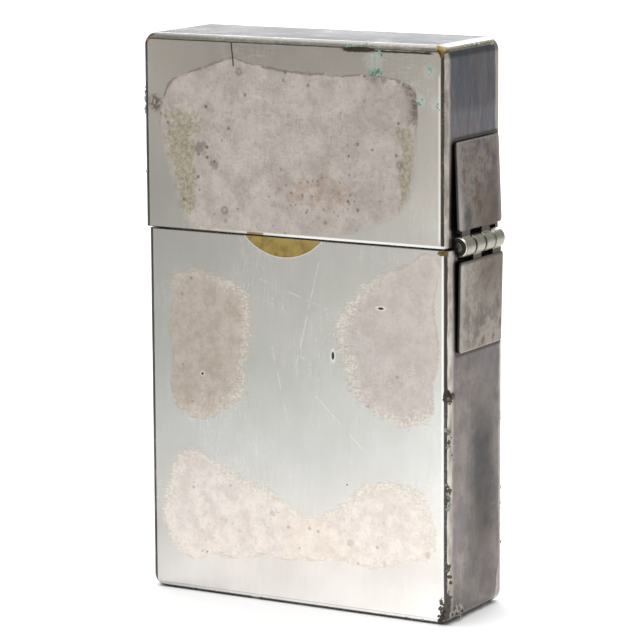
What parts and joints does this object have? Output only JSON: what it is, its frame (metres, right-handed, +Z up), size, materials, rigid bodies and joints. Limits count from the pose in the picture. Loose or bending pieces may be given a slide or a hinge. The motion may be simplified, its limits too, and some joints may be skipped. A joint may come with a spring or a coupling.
{
  "type": "flip-top pocket lighter",
  "caption": "Flat nickel-plated flip-top metal pocket case with an outside knuckled side hinge, holding a wick, flint wheel and fuel insert.",
  "frame": {"origin": "centre of the base case's flat underside", "axes": "+Z up towards the closed lid's top, +X towards the hinge on the narrow side, -Y towards the front face"},
  "size_m": [0.0395, 0.0128, 0.0632],
  "materials": {
    "case_plate": "worn, stained nickel plate over brass",
    "leaf_plate": "tarnished nickel plate",
    "hinge_steel": "worn bright",
    "insert_plate": "dull nickel plate",
    "spring_steel": "dark steel",
    "brass": "dull",
    "flint": "matte",
    "wick": "braided cotton",
    "cotton": "loose cotton",
    "felt": "felt"
  },
  "bodies": {
    "case": {"case_body": "case_plate", "hinge_leaf_lower": "leaf_plate", "hinge_pin": "hinge_steel", "insert_shell": "insert_plate", "insert_deck": "insert_plate", "chimney": "insert_plate", "wheel_rivet": "hinge_steel", "flint_tube": "brass", "flint": "flint", "flint_plunger": "brass", "flint_spring": "spring_steel", "flint_screw": "brass", "cam_bracket": "insert_plate", "cam_rivet": "hinge_steel", "cam_spring": "spring_steel", "wick": "wick", "cotton_left_lower": "cotton", "cotton_left_middle": "cotton", "cotton_left_upper": "cotton", "cotton_centre_lower": "cotton", "cotton_centre_upper": "cotton", "cotton_right": "cotton", "felt_pad": "felt"},
    "lid": {"case_lid": "case_plate", "hinge_leaf_upper": "leaf_plate", "lid_stop_tab": "insert_plate"},
    "cam": {"cam": "spring_steel"},
    "wheel": {"flint_wheel": "spring_steel"}
  },
  "joints": [
    {"name": "lid_hinge", "type": "hinge", "parent": "case", "child": "lid", "pos_m": [0.01895, 0, 0.04135], "axis": [0, 1, 0], "range_deg": [0, 130]},
    {"name": "cam_pivot", "type": "hinge", "parent": "case", "child": "cam", "pos_m": [0.013, 0, 0.0446], "axis": [0, 1, 0], "range_deg": [0, 13]},
    {"name": "wheel_spin", "type": "hinge", "parent": "case", "child": "wheel", "pos_m": [0.0065, 0, 0.0502], "axis": [0, 1, 0], "continuous": true}
  ],
  "couplings": [
    {"joint": "cam_pivot", "follows": "lid_hinge", "ratio": 0.1}
  ]
}
